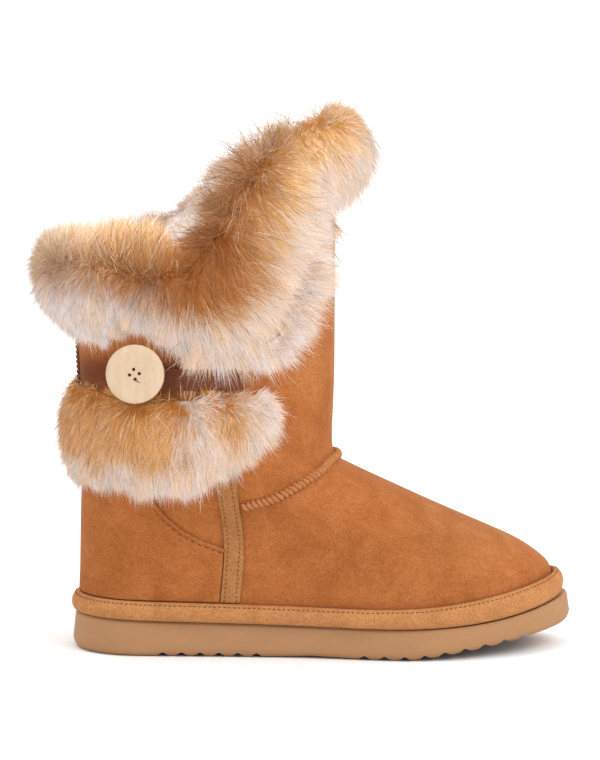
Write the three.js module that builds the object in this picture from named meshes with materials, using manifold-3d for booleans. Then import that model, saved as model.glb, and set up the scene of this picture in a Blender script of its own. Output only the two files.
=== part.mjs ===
// A right-foot snow boot: a suede upper on a moulded foam sole, with a deep fur collar folded
// over its V-cut top line, a fur band below it, and a strap with a wooden button between the two.
//
// Millimetres. +X runs to the toe, +Y to the inner side of the foot, +Z up. Tables give places
// along the boot from the back of the sole; the finished group is then moved so that the origin
// lies on the floor, under the middle of the heel.

import * as THREE from "three";
import { mergeVertices } from "three/addons/utils/BufferGeometryUtils.js";
import Module from "manifold-3d";

const wasm = await Module();
wasm.setup();

const SOLE_LENGTH = 267;
const BALL_HALF_WIDTH = 48.5;
const HEEL_MIDDLE = 30; // from the back of the sole to the origin
const WALL = 2.4; // suede with its bonded lining
const GAP = 0.3; // between two pieces that meet
const OUTER = -1; // the side of the little toe
const INNER = 1;

const lerp = THREE.MathUtils.lerp;
const clamp = THREE.MathUtils.clamp;
const smoothstep = THREE.MathUtils.smoothstep;

// Tables and curves

// A column of a table at a place between its rows, on a smooth curve through them.
function read(table, key, place, column) {
  const last = table.length - 1;
  let i = 0;
  while (i < last - 1 && place > table[i + 1][key]) i++;
  const slope = (j) => {
    const before = table[Math.max(j - 1, 0)];
    const after = table[Math.min(j + 1, last)];
    return (after[column] - before[column]) / (after[key] - before[key]);
  };
  const span = table[i + 1][key] - table[i][key];
  const s = clamp((place - table[i][key]) / span, 0, 1);
  const [a, b] = [table[i][column], table[i + 1][column]];
  const rise = span * slope(i);
  const fall = span * slope(i + 1);
  const bend = 2 * (a - b) + rise + fall;
  return a + s * (rise + s * (3 * (b - a) - 2 * rise - fall + s * bend));
}

// A whole number's own share from 0 to 1, for the unevenness of the fur locks.
function uneven(n) {
  const wave = Math.sin(n * 12.9898 + 4.1) * 43758.5453;
  return wave - Math.floor(wave);
}

// A place once around the boot: 0 at the back, 0.25 on the outer side, 0.5 at the front.
function aroundBoot(c) {
  const turn = c - Math.floor(c);
  return { along: (1 - Math.cos(2 * Math.PI * turn)) / 2, side: turn < 0.5 ? OUTER : INNER };
}

// The shares of a loop with no point on the middle line, so that its two sides pair up.
const loopShares = (count) => Array.from({ length: count }, (_, j) => (j + 0.5) / count);
const steps = (count, from, to) =>
  Array.from({ length: count + 1 }, (_, i) => lerp(from, to, i / count));

// Solids

function geometryOf(points, triangles) {
  let volume = 0;
  for (let i = 0; i < triangles.length; i += 3) {
    const [a, b, c] = [points[triangles[i]], points[triangles[i + 1]], points[triangles[i + 2]]];
    volume += a.dot(b.clone().cross(c));
  }
  if (volume < 0) triangles.reverse();
  const geometry = new THREE.BufferGeometry().setFromPoints(points);
  geometry.setIndex(triangles);
  return geometry;
}

function band(triangles, from, to, count) {
  for (let j = 0; j < count; j++) {
    const k = (j + 1) % count;
    triangles.push(from + j, from + k, to + k, from + j, to + k, to + j);
  }
}

// A solid through closed loops of equal length. The first and last loops are capped, with point j
// joined across to point count - 1 - j.
function loft(loops) {
  const count = loops[0].length;
  const triangles = [];
  for (let i = 0; i < loops.length - 1; i++) band(triangles, i * count, (i + 1) * count, count);
  for (const [start, first, second] of [[0, 0, 1], [(loops.length - 1) * count, 1, 0]]) {
    for (let j = 0; j < count / 2 - 1; j++) {
      const rung = [start + j, start + count - 1 - j];
      const next = [start + j + 1, start + count - 2 - j];
      triangles.push(rung[first], rung[second], next[first]);
      triangles.push(rung[second], next[second], next[first]);
    }
  }
  return geometryOf(loops.flat(), triangles);
}

// A ring: closed loops whose last one joins the first.
function ring(loops) {
  const count = loops[0].length;
  const triangles = [];
  loops.forEach((_, i) => band(triangles, i * count, ((i + 1) % loops.length) * count, count));
  return geometryOf(loops.flat(), triangles);
}

function solid(geometry) {
  const bare = geometry.clone();
  bare.deleteAttribute("normal");
  bare.deleteAttribute("uv");
  const merged = mergeVertices(bare, 1e-4);
  return new wasm.Manifold(
    new wasm.Mesh({
      numProp: 3,
      vertProperties: merged.attributes.position.array,
      triVerts: new Uint32Array(merged.index.array),
    }),
  );
}

function geometryFrom(manifold) {
  const mesh = manifold.getMesh();
  const geometry = new THREE.BufferGeometry();
  geometry.setAttribute("position", new THREE.BufferAttribute(mesh.vertProperties, 3));
  geometry.setIndex(new THREE.BufferAttribute(mesh.triVerts, 1));
  return geometry;
}

const joined = (geometries) => geometryFrom(wasm.Manifold.union(geometries.map(solid)));
const cutBy = (geometry, tools) =>
  geometryFrom(solid(geometry).subtract(wasm.Manifold.union(tools.map(solid))));

// The foot's plan, from the heel's end to the toe's: the middle line swings to the inner side at the toe.
const FOOT_PLAN = [
  { along: 0.0, centre: 0, half: 35 },
  { along: 0.15, centre: 0, half: 36 },
  { along: 0.4, centre: -1.5, half: 38 },
  { along: 0.55, centre: -2, half: 43 },
  { along: 0.68, centre: -1, half: BALL_HALF_WIDTH },
  { along: 0.85, centre: 3, half: 48 },
  { along: 1.0, centre: 7, half: 44 },
];
const HEEL_ROUND = { length: 0.14, power: 2.1 };
const TOE_ROUND = { length: 0.32, power: 2.2 };

function roundedEnd(round, fromEnd) {
  const share = clamp(1 - fromEnd / round.length, 0, 1);
  return (1 - share ** round.power) ** (1 / round.power);
}

function footY(side, along) {
  const rounded = roundedEnd(HEEL_ROUND, along) * roundedEnd(TOE_ROUND, 1 - along);
  const half = read(FOOT_PLAN, "along", along, "half") * rounded;
  return read(FOOT_PLAN, "along", along, "centre") + side * half;
}

// Outsole

const SOLE_TOP = { heel: 19.6, ball: 16.2, toeSpring: 12.7, springFrom: 0.62, power: 2.7 };
const SOLE_BOTTOM = { toeSpring: 13, springFrom: 0.68, power: 1.05 };
const ARCH = { from: 0.41, full: 0.45, fade: 0.51, to: 0.55, relief: 1 };

const springShare = (along, curve) =>
  Math.max(0, (along - curve.springFrom) / (1 - curve.springFrom)) ** curve.power;

function soleTop(x) {
  const along = clamp(x / SOLE_LENGTH, 0, 1);
  const wedge = lerp(SOLE_TOP.heel, SOLE_TOP.ball, Math.min(along / SOLE_TOP.springFrom, 1));
  return wedge + SOLE_TOP.toeSpring * springShare(along, SOLE_TOP);
}

function soleBottom(x) {
  const along = clamp(x / SOLE_LENGTH, 0, 1);
  const arch = smoothstep(along, ARCH.from, ARCH.full) - smoothstep(along, ARCH.fade, ARCH.to);
  return ARCH.relief * arch + SOLE_BOTTOM.toeSpring * springShare(along, SOLE_BOTTOM);
}

// A point of the sole's plan outline, moved in by an inset.
function solePlan(c, inset) {
  const at = (turn) => {
    const { along, side } = aroundBoot(turn);
    return new THREE.Vector2(along * SOLE_LENGTH, footY(side, along));
  };
  const step = 0.004;
  const tangent = at(c + step).sub(at(c - step)).normalize();
  return at(c).add(new THREE.Vector2(-tangent.y, tangent.x).multiplyScalar(inset));
}

// From the tread up to the top edge: how far each ring lies inside the outline, and how far above
// the bottom or below the top. The side leans out a little towards the floor.
const SOLE_RINGS = [
  { inset: 4.6, aboveBottom: 0 },
  { inset: 2.2, aboveBottom: 0.7 },
  { inset: 0.6, aboveBottom: 2.4 },
  { inset: 0, aboveBottom: 5 },
  { inset: 1.4, belowTop: 1.2 },
  { inset: 2.4, belowTop: 0 },
];
const SOLE_POINTS = 64;

// V-grooves across the tread, in two groups with a plain waist between them.
const GROOVE_GROUPS = [
  { first: 49.4, pitch: 9.9, count: 6 },
  { first: 155.4, pitch: 10.6, count: 9 },
];
const GROOVE = { width: 8, depth: 2.6, halfLength: 70, below: 3 };

function grooveCutter(x) {
  const slope = Math.atan2(soleBottom(x + 4) - soleBottom(x - 4), 8);
  const flare = 1 + GROOVE.below / GROOVE.depth;
  const vee = new THREE.Shape([
    new THREE.Vector2(-(GROOVE.width / 2) * flare, -GROOVE.below),
    new THREE.Vector2((GROOVE.width / 2) * flare, -GROOVE.below),
    new THREE.Vector2(0, GROOVE.depth),
  ]);
  const prism = new THREE.ExtrudeGeometry(vee, { depth: 2 * GROOVE.halfLength, bevelEnabled: false });
  prism.translate(0, 0, -GROOVE.halfLength);
  prism.rotateX(Math.PI / 2);
  prism.rotateY(-slope);
  return prism.translate(x, 0, soleBottom(x));
}

function outsole() {
  const loops = SOLE_RINGS.map((row) =>
    loopShares(SOLE_POINTS).map((c) => {
      const { x, y } = solePlan(c, row.inset);
      const z = "belowTop" in row ? soleTop(x) - row.belowTop : soleBottom(x) + row.aboveBottom;
      return new THREE.Vector3(x, y, z);
    }),
  );
  const grooves = GROOVE_GROUPS.flatMap(({ first, pitch, count }) =>
    Array.from({ length: count }, (_, i) => grooveCutter(first + i * pitch)),
  );
  return cutBy(loft(loops), grooves);
}

// Upper: sections from the sole's edge to the collar. Each is a loop through a back, a front and two
// side points; "foot" is its share of the foot's plan, the rest being the shaft's oval.
const UPPER_SECTIONS = [
  { back: 4.8, backZ: 20, sideZ: 18, front: 258, frontZ: 31, half: 43.5, foot: 1 },
  { back: 5.0, backZ: 32, sideZ: 29.5, front: 257.6, frontZ: 40.5, half: 45, foot: 1 },
  { back: 5.6, backZ: 46, sideZ: 41.5, front: 252, frontZ: 47.6, half: 45, foot: 1 },
  { back: 5.8, backZ: 60, sideZ: 52.5, front: 239.5, frontZ: 56.2, half: 43, foot: 0.95 },
  { back: 6.2, backZ: 74, sideZ: 62.5, front: 220, frontZ: 65, half: 41, foot: 0.85 },
  { back: 6.6, backZ: 88, sideZ: 72.5, front: 194.5, frontZ: 76.2, half: 40.5, foot: 0.65 },
  { back: 6.6, backZ: 101, sideZ: 82, front: 169, frontZ: 88, half: 41.5, foot: 0.42 },
  { back: 6.2, backZ: 113, sideZ: 91.5, front: 147, frontZ: 98.5, half: 43, foot: 0.22 },
  { back: 5.4, backZ: 126, sideZ: 104, front: 139, frontZ: 106.5, half: 45, foot: 0.08 },
  { back: 4.4, backZ: 150, sideZ: 134, front: 140.4, frontZ: 140, half: 47, foot: 0 },
  { back: 3.2, backZ: 182, sideZ: 170, front: 140.6, frontZ: 207, half: 48.5, foot: 0 },
  { back: 2.0, backZ: 213, sideZ: 203, front: 141, frontZ: 278, half: 50, foot: 0 },
];
const COLLAR = UPPER_SECTIONS.length - 1;
const SHAFT_OVAL_POWER = 2.15;
// The top line dips on each side, later on the outer side, and climbs to the front.
const TOP_LINE = {
  [OUTER]: { dipAt: 0.5, backPower: 1.3, frontPower: 2.1 },
  [INNER]: { dipAt: 0.22, backPower: 1.3, frontPower: 1.2 },
};
const UPPER_POINTS = 40;
const UPPER_STEPS_PER_SECTION = 2;

function sectionPoint(row, index, c) {
  const { along, side } = aroundBoot(c);
  const x = lerp(row.back, row.front, along);
  const oval = side * (1 - Math.abs(2 * along - 1) ** SHAFT_OVAL_POWER) ** (1 / SHAFT_OVAL_POWER);
  const foot = footY(side, along) / BALL_HALF_WIDTH;
  const { dipAt, backPower, frontPower } = TOP_LINE[side];
  const toBack = Math.max(0, 1 - along / dipAt) ** backPower;
  const climb = Math.max(0, (along - dipAt) / (1 - dipAt));
  const toFront = lerp(1 - (1 - climb) ** frontPower, climb, row.foot);
  const z = row.sideZ + (row.backZ - row.sideZ) * toBack + (row.frontZ - row.sideZ) * toFront;
  return new THREE.Vector3(x, row.half * lerp(oval, foot, row.foot), index === 0 ? soleTop(x) + GAP : z);
}

// The upper's outer face at a height t, counted in sections, and a place c around the boot.
function upperPoint(t, c) {
  const i = clamp(Math.floor(t), 0, COLLAR - 1);
  const at = (k) => {
    const inside = clamp(k, 0, COLLAR);
    const point = sectionPoint(UPPER_SECTIONS[inside], inside, c);
    if (k === inside) return point;
    const next = k < 0 ? 1 : COLLAR - 1;
    return point.multiplyScalar(2).sub(sectionPoint(UPPER_SECTIONS[next], next, c));
  };
  const [a, b, d, e] = [at(i - 1), at(i), at(i + 1), at(i + 2)];
  const s = t - i;
  const spline = (k) =>
    clamp(s, 0, 1) === s
      ? 0.5 * (2 * b[k] + s * (d[k] - a[k] + s * (2 * a[k] - 5 * b[k] + 4 * d[k] - e[k] +
          s * (3 * b[k] - a[k] - 3 * d[k] + e[k]))))
      : lerp(b[k], d[k], s);
  return new THREE.Vector3(spline("x"), spline("y"), spline("z"));
}

function upperNormal(t, c) {
  const step = 0.01;
  const low = Math.min(Math.max(t, step), COLLAR - step);
  const up = upperPoint(low + step, c).sub(upperPoint(low - step, c));
  const along = upperPoint(low, c + step / 2).sub(upperPoint(low, c - step / 2));
  return along.cross(up).normalize();
}

const lifted = (t, c, lift) => upperPoint(t, c).addScaledVector(upperNormal(t, c), lift);

// The value between two limits where a rising function reaches a target.
function solve(rising, target, low, high) {
  for (let i = 0; i < 30; i++) {
    const middle = (low + high) / 2;
    if (rising(middle) < target) low = middle;
    else high = middle;
  }
  return (low + high) / 2;
}

const heightAt = (c, z) => solve((t) => upperPoint(t, c).z, z, 0, COLLAR);
const onWall = (c, z, lift) => lifted(heightAt(c, z), c, lift);

// The place around the boot, on one side, where the wall at height z stands at x.
function placeAt(side, x, z) {
  const share = solve((c) => upperPoint(heightAt(c, z), c).x, x, 0, 0.5);
  return side === OUTER ? share : 1 - share;
}

const onSide = (side, x, z, lift) => onWall(placeAt(side, x, z), z, lift);

// A point above the sole's top face beside the wall, which follows the toe spring.
function besideWall(c, rise, lift) {
  const foot = upperPoint(0, c);
  const point = onWall(c, soleTop(foot.x) + rise, lift);
  return point.setZ(soleTop(point.x) + rise);
}

function upper() {
  const heights = steps(COLLAR * UPPER_STEPS_PER_SECTION, 0, COLLAR);
  const places = loopShares(UPPER_POINTS);
  const outside = heights.map((t) => places.map((c) => upperPoint(t, c)));
  const inside = heights.map((t) => places.map((c) => lifted(t, c, -WALL)));
  return ring([...outside, ...inside.reverse()]);
}

// Insole: the footbed inside the upper, on the sole.
const INSOLE = { thickness: 4, clearance: 0.5 };

function insole() {
  const loop = (rise) =>
    loopShares(UPPER_POINTS).map((c) => besideWall(c, rise, -(WALL + INSOLE.clearance)));
  return loft([loop(GAP), loop(GAP + INSOLE.thickness)]);
}

// Binding: a padded suede strip that covers the joint between upper and sole all the way round,
// taller at the toe.
const BINDING_SECTION = [
  { rise: GAP, lift: 0.45 },
  { rise: GAP, lift: 4.6 },
  { rise: 2.2, lift: 6.0 },
  { rise: 5.5, lift: 6.4 },
  { rise: 8.6, lift: 5.2 },
  { rise: 10.6, lift: 2.6 },
  { rise: 11, lift: 0.45 },
];
const BINDING_TOP = 11 + GAP;
const BINDING_TOE = { taller: 0.3, from: 0.6, full: 0.92 };

function binding() {
  const taller = (c) => {
    const along = upperPoint(0, c).x / SOLE_LENGTH;
    return 1 + BINDING_TOE.taller * smoothstep(along, BINDING_TOE.from, BINDING_TOE.full);
  };
  return ring(BINDING_SECTION.map(({ rise, lift }) =>
    loopShares(UPPER_POINTS).map((c) => besideWall(c, rise * taller(c), lift))));
}

// Overlays: strips laid on the upper's outer face, one closed section for each place along them.
const OVERLAY = { seat: 0.5, thickness: 1.2 };
const OVERLAY_TOP = OVERLAY.seat + OVERLAY.thickness;

// A section across a strip: the lower face one way and the upper face back, from points that a
// function gives for a share across the strip and a lift off the wall.
function stripSection(point, across, seat, top) {
  const shares = steps(across, 0, 1);
  return [
    ...shares.map((s) => point(s, seat)),
    ...shares.reverse().map((s) => point(s, top)),
  ];
}

// Side tapes cover the seams between the front and back panels, up to the dips of the top line.
const TAPE_LINE = [
  { z: 28, x: 85 },
  { z: 60, x: 87.3 },
  { z: 97, x: 82.5 },
  { z: 150, x: 74 },
  { z: 205, x: 68.5 },
];
const TAPE = { halfWidth: 5.2, steps: 14, top: 196 };

function sideTape(side) {
  const start = soleTop(TAPE_LINE[0].x) + BINDING_TOP;
  return loft(steps(TAPE.steps, start, TAPE.top).map((z) => {
    const middle = read(TAPE_LINE, "z", z, "x");
    const across = (s, lift) => onSide(side, middle + lerp(-TAPE.halfWidth, TAPE.halfWidth, s), z, lift);
    return stripSection(across, 2, OVERLAY.seat, OVERLAY_TOP);
  }));
}

// Heel counter: the lower back panel, whose top edge climbs from the tapes to the back.
const COUNTER_EDGE = [
  { x: 2, z: 106 },
  { x: 22, z: 102 },
  { x: 36, z: 93 },
  { x: 45.4, z: 81.7 },
  { x: 50.5, z: 75 },
  { x: 59.9, z: 67 },
  { x: 69.8, z: 61.8 },
  { x: 82, z: 57.6 },
];
const COUNTER = { fromTape: 0.5, steps: 24, across: 6 };

function heelCounter() {
  const front = (z) => read(TAPE_LINE, "z", z, "x") - TAPE.halfWidth - COUNTER.fromTape;
  const place = (share, z) => share * placeAt(OUTER, front(z), z);
  return loft(steps(COUNTER.steps, -1, 1).map((share) => {
    let top = COUNTER_EDGE.at(-1).z;
    for (let pass = 0; pass < 6; pass++) {
      top = read(COUNTER_EDGE, "x", onWall(place(share, top), top, 0).x, "z");
    }
    const bottom = soleTop(onWall(place(share, 30), 30, 0).x) + BINDING_TOP;
    const across = (s, lift) => {
      const z = lerp(bottom, top, s);
      return onWall(place(share, z), z, lift);
    };
    return stripSection(across, COUNTER.across, OVERLAY.seat, OVERLAY_TOP);
  }));
}

// Whipped seams: cords of overcast thread, swept as a lobed section that turns along the seam.
const WHIP_SIDES = 6;
const WHIP_HOLLOW = 0.74; // radius between the lobes
const WHIP_TURN = 0.62; // turn at each step, in radians
const WHIP_SEAT = 0.7; // clearance under the cord

function whippedSeam(places, wide, high) {
  const loops = places.map(({ t, c }, i) => {
    const normal = upperNormal(t, c);
    const centre = upperPoint(t, c).addScaledVector(normal, WHIP_SEAT + high);
    const ahead = places[Math.min(i + 1, places.length - 1)];
    const behind = places[Math.max(i - 1, 0)];
    const run = upperPoint(ahead.t, ahead.c).sub(upperPoint(behind.t, behind.c)).normalize();
    const across = run.clone().cross(normal).normalize();
    return Array.from({ length: WHIP_SIDES }, (_, k) => {
      const angle = (2 * Math.PI * k) / WHIP_SIDES + i * WHIP_TURN;
      const size = k % 2 ? WHIP_HOLLOW : 1;
      return centre.clone()
        .addScaledVector(across, wide * size * Math.cos(angle))
        .addScaledVector(normal, high * size * Math.sin(angle));
    });
  });
  return loft(loops);
}

// The instep seam joins vamp and shaft, from tape to tape over the front.
const INSTEP_SEAM = {
  start: { x: 93.5, z: 80.5 }, front: { x: 142, z: 103.5 }, power: 1.3, radius: 2.2, steps: 40,
};

function instepSeam() {
  const { start, front } = INSTEP_SEAM;
  const from = placeAt(OUTER, start.x, start.z);
  const lineZ = (x) => {
    const share = clamp((x - start.x) / (front.x - start.x), 0, 1);
    return lerp(start.z, front.z, share ** INSTEP_SEAM.power);
  };
  const places = steps(INSTEP_SEAM.steps, from, 1 - from).map((c) => {
    const z = solve((height) => height - lineZ(onWall(c, height, 0).x), 0, start.z - 5, front.z + 5);
    return { t: heightAt(c, z), c };
  });
  return whippedSeam(places, INSTEP_SEAM.radius, INSTEP_SEAM.radius);
}

// The back seam runs up the middle of the shaft, from the heel counter to the collar.
const BACK_SEAM = { from: 108, to: 205, halfWidth: 2, halfHeight: 0.62, steps: 26 };

function backSeam() {
  const places = steps(BACK_SEAM.steps, BACK_SEAM.from, BACK_SEAM.to)
    .map((z) => ({ t: heightAt(0, z), c: 0 }));
  return whippedSeam(places, BACK_SEAM.halfWidth, BACK_SEAM.halfHeight);
}

// Fur: thick bodies drawn out into locks. They sit clear of the tapes and seams below them.
const FUR_SEAT = OVERLAY_TOP + 0.7;
const LOCK = { proud: 6, hang: 13, least: 0.25, sway: 3 };
const STRAP = { z: 148.6, halfWidth: 5.4, from: 28, to: 92, seat: FUR_SEAT, thickness: 1.4, steps: 14 };
const STRAP_TOP = STRAP.seat + STRAP.thickness;

// Which way the hair lies: down the wall, and to the toe in front of the dip.
const SWEEP = { start: 0.45, full: 0.85, strength: 0.7 };

function hairRun(c, z) {
  const down = onWall(c, z - 2, 0).sub(onWall(c, z + 2, 0)).normalize();
  const { along, side } = aroundBoot(c);
  const forward = onWall(c - side * 0.01, z, 0).sub(onWall(c + side * 0.01, z, 0)).normalize();
  const sweep = SWEEP.strength * smoothstep(along, SWEEP.start, SWEEP.full);
  return down.addScaledVector(forward, sweep * smoothstep(1 - along, 0, 0.04)).normalize();
}

// Sections along a fur body, with a lock between each two. A lock has a size of its own; it stands
// proud of the body and hangs along the hair by the shares that each place of the section gives.
function withLocks(sections, places, profile, level, seed) {
  return sections.flatMap((section, i) => {
    if (i + 1 === places.length) return [section];
    const next = sections[(i + 1) % sections.length];
    const c = (places[i] + places[i + 1]) / 2;
    const normal = upperNormal(heightAt(c, level(c)), c);
    const run = hairRun(c, level(c));
    const across = run.clone().cross(normal);
    const size = lerp(LOCK.least, 1, uneven(seed + i));
    const lock = profile.map(({ proud = 0, hang = 0 }, k) => {
      const sway = proud * LOCK.sway * (uneven(seed + 7 * i + k) - 0.5);
      return section[k].clone().lerp(next[k], 0.5)
        .addScaledVector(normal, proud * size * LOCK.proud)
        .addScaledVector(run, hang * size * LOCK.hang)
        .addScaledVector(across, sway);
    });
    return [section, lock];
  });
}

// Collar: folded over the top edge. Around the boot, where its outer hem lies, how far it stands out
// from the shaft and above the edge. The outer side and the inner side are alike.
const FUR_COLLAR = [
  { along: 0, hem: 170, out: 20, up: 9 },
  { along: 0.06, hem: 168, out: 19, up: 9 },
  { along: 0.13, hem: 168, out: 17, up: 9 },
  { along: 0.2, hem: 173, out: 16, up: 9 },
  { along: 0.27, hem: 175, out: 15.5, up: 9 },
  { along: 0.33, hem: 173, out: 15, up: 9 },
  { along: 0.4, hem: 164, out: 15, up: 9.5 },
  { along: 0.46, hem: 158, out: 15, up: 10 },
  { along: 0.56, hem: 155, out: 15, up: 10 },
  { along: 0.66, hem: 152.5, out: 15, up: 10 },
  { along: 0.73, hem: 151, out: 14, up: 10 },
  { along: 0.775, hem: 154, out: 14, up: 9.5 },
  { along: 0.81, hem: 170, out: 13, up: 9 },
  { along: 0.85, hem: 192, out: 13, up: 8 },
  { along: 0.91, hem: 216.5, out: 13, up: 7.5 },
  { along: 0.95, hem: 228, out: 14, up: 7.5 },
  { along: 1, hem: 246, out: 15, up: 7.5 },
];
const COLLAR_SEAT = STRAP_TOP + 0.6;
const TUCK = { depth: 28, thickness: 9, clearance: 0.7 };

// The collar's section, from the outer hem over the edge to the inner hem and back along the wall.
// down: share of the drop to the hem; up: share of the height over the edge; out, inward: shares of
// the two thicknesses; proud, hang: shares of a lock.
const COLLAR_SECTION = [
  { down: 1, out: 0.3, proud: 0.3, hang: 1 },
  { down: 0.82, out: 0.7, proud: 0.8, hang: 0.5 },
  { down: 0.5, out: 0.92, proud: 1 },
  { down: 0.18, out: 1, proud: 0.6 },
  { up: 0.45, out: 0.8, proud: 0.6, hang: -0.2 },
  { up: 0.95, out: 0.3, proud: 0.3, hang: -0.6 },
  { up: 0.9, inward: 0.4, hang: -0.3 },
  { up: 0.35, inward: 0.95 },
  { tuck: 0.5, inward: 1 },
  { tuck: 1, inward: 0.5 },
  { tuck: 1, inward: 0 },
  { up: 0, inward: 0 },
  { up: 0, out: 0 },
  { down: 0.5, out: 0 },
  { down: 0.97, out: 0 },
];

function collarSize(c) {
  const { along } = aroundBoot(c);
  const edge = upperPoint(COLLAR, c).z;
  const column = (name) => read(FUR_COLLAR, "along", along, name);
  return { edge, drop: edge - column("hem"), out: column("out"), up: column("up") };
}

function collarPoint(c, place) {
  const { edge, drop, out, up } = collarSize(c);
  const lift = "inward" in place
    ? -(WALL + TUCK.clearance + place.inward * TUCK.thickness)
    : COLLAR_SEAT + place.out * (out - COLLAR_SEAT);
  if ("up" in place) {
    const rise = Math.max(place.up * up, TUCK.clearance);
    const flat = upperNormal(COLLAR, c).setZ(0).normalize();
    return upperPoint(COLLAR, c).addScaledVector(flat, lift).add(new THREE.Vector3(0, 0, rise));
  }
  return onWall(c, edge - ("down" in place ? place.down * drop : place.tuck * TUCK.depth), lift);
}

function furCollar() {
  const shares = loopShares(UPPER_POINTS);
  const sections = shares.map((c) => COLLAR_SECTION.map((place) => collarPoint(c, place)));
  const places = [...shares, shares[0] + 1];
  const middle = (c) => collarSize(c).edge - collarSize(c).drop / 2;
  return ring(withLocks(sections, places, COLLAR_SECTION, middle, 100));
}

// Band: below the strap, round the back from side to side, longest at the back.
const FUR_BAND = [
  { along: 0.0, top: 145, hem: 91, out: 9 },
  { along: 0.1, top: 144.5, hem: 91.5, out: 9 },
  { along: 0.2, top: 140, hem: 92, out: 9 },
  { along: 0.42, top: 140, hem: 95, out: 9 },
  { along: 0.56, top: 140, hem: 104, out: 9 },
  { along: 0.63, top: 140, hem: 111, out: 9 },
  { along: 0.69, top: 140, hem: 118, out: 9 },
  { along: 0.74, top: 139, hem: 128, out: 8 },
];
const BAND_SECTION = [
  { down: 0, out: 0.25, proud: 0.2, hang: -0.2 },
  { down: 0.12, out: 0.75, proud: 0.6 },
  { down: 0.4, out: 1, proud: 1 },
  { down: 0.75, out: 0.85, proud: 0.8, hang: 0.5 },
  { down: 1, out: 0.3, proud: 0.3, hang: 1 },
  { down: 1, out: 0 },
  { down: 0.75, out: 0 },
  { down: 0.4, out: 0 },
  { down: 0.12, out: 0 },
  { down: 0, out: 0 },
];
const BAND_STEPS = 28;

function bandSize(c) {
  const { along } = aroundBoot(c);
  const column = (name) => read(FUR_BAND, "along", along, name);
  return { top: column("top"), hem: column("hem"), out: column("out") };
}

function bandPoint(c, place) {
  const { top, hem, out } = bandSize(c);
  return onWall(c, lerp(top, hem, place.down), FUR_SEAT + place.out * (out - FUR_SEAT));
}

function furBand() {
  const shaft = UPPER_SECTIONS[COLLAR - 2];
  const end = placeAt(OUTER, lerp(shaft.back, shaft.front, FUR_BAND.at(-1).along), FUR_BAND.at(-1).hem);
  const places = steps(BAND_STEPS, -end, end);
  const sections = places.map((c) => BAND_SECTION.map((place) => bandPoint(c, place)));
  const middle = (c) => (bandSize(c).top + bandSize(c).hem) / 2;
  return loft(withLocks(sections, places, BAND_SECTION, middle, 1000));
}

// Strap: a suede tab in the gap between the two furs, from the front panel to the button.
function strap() {
  const from = placeAt(OUTER, STRAP.from, STRAP.z);
  const to = placeAt(OUTER, STRAP.to, STRAP.z);
  return loft(steps(STRAP.steps, from, to).map((c) => {
    const across = (s, lift) => onWall(c, STRAP.z + lerp(-STRAP.halfWidth, STRAP.halfWidth, s), lift);
    return stripSection(across, 2, STRAP.seat, STRAP_TOP);
  }));
}

// Button: a turned wooden disc with four sewing holes, on a thread shank that stands on the strap.
const BUTTON = { x: 39.8, z: 152, radius: 15.2, thickness: 4.4, edge: 0.9, standOff: 6, sides: 28 };
const SHANK = { radius: 3.2, sides: 12, clearance: 1.1 };
const SEW_HOLE = { radius: 0.95, fromCentre: 2.6, turn: 0.95, sides: 6 };
const FACING_VIEWER = 0.55; // share by which the button turns from the wall to face straight sideways

function button() {
  const half = BUTTON.thickness / 2;
  const r = BUTTON.radius;
  const profile = [
    [0, -half], [r - BUTTON.edge, -half], [r, -half + BUTTON.edge], [r, half - BUTTON.edge],
    [r - BUTTON.edge, half], [r - 3.5, half], [r - 6, half - 0.5], [0, half - 0.5],
  ].map(([x, y]) => new THREE.Vector2(x, y));
  const disc = new THREE.LatheGeometry(profile, BUTTON.sides);
  const shankLength = BUTTON.standOff + half;
  const shank = new THREE.CylinderGeometry(SHANK.radius, SHANK.radius, shankLength, SHANK.sides);
  shank.translate(0, -shankLength / 2, 0);
  const { radius, fromCentre, turn, sides } = SEW_HOLE;
  const holes = Array.from({ length: 4 }, (_, i) => {
    const hole = new THREE.CylinderGeometry(radius, radius, BUTTON.thickness, sides);
    const angle = turn + (i * Math.PI) / 2;
    return hole.translate(fromCentre * Math.cos(angle), half, fromCentre * Math.sin(angle));
  });
  return cutBy(joined([disc, shank]), holes);
}

function placeButton(mesh) {
  const c = placeAt(OUTER, BUTTON.x, BUTTON.z);
  const wall = upperNormal(heightAt(c, BUTTON.z), c);
  const facing = wall.clone().lerp(new THREE.Vector3(0, OUTER, 0.1), FACING_VIEWER).normalize();
  const strapTop = STRAP_TOP + SHANK.clearance;
  const lift = strapTop + BUTTON.standOff + BUTTON.thickness / 2;
  mesh.quaternion.setFromUnitVectors(new THREE.Vector3(0, 1, 0), facing);
  mesh.position.copy(onWall(c, BUTTON.z, strapTop).addScaledVector(facing, lift - strapTop));
}

// Materials and the assembly

const finish = (color, roughness) => new THREE.MeshStandardMaterial({ color, roughness, metalness: 0 });
const SUEDE = finish("#c47a48", 0.95);
const SUEDE_TAPE = finish("#bb8049", 0.95);
const FOAM = finish("#b98a60", 0.7);
const FOOTBED = finish("#d8c3a5", 0.95);
const THREAD = finish("#b5764c", 0.9);
const FUR = finish("#d9b08a", 1);
const WOOD = finish("#e3c8a0", 0.5);

const boot = new THREE.Group();

function piece(name, geometry, material) {
  const mesh = new THREE.Mesh(geometry, material);
  mesh.name = name;
  boot.add(mesh);
  return mesh;
}

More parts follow.
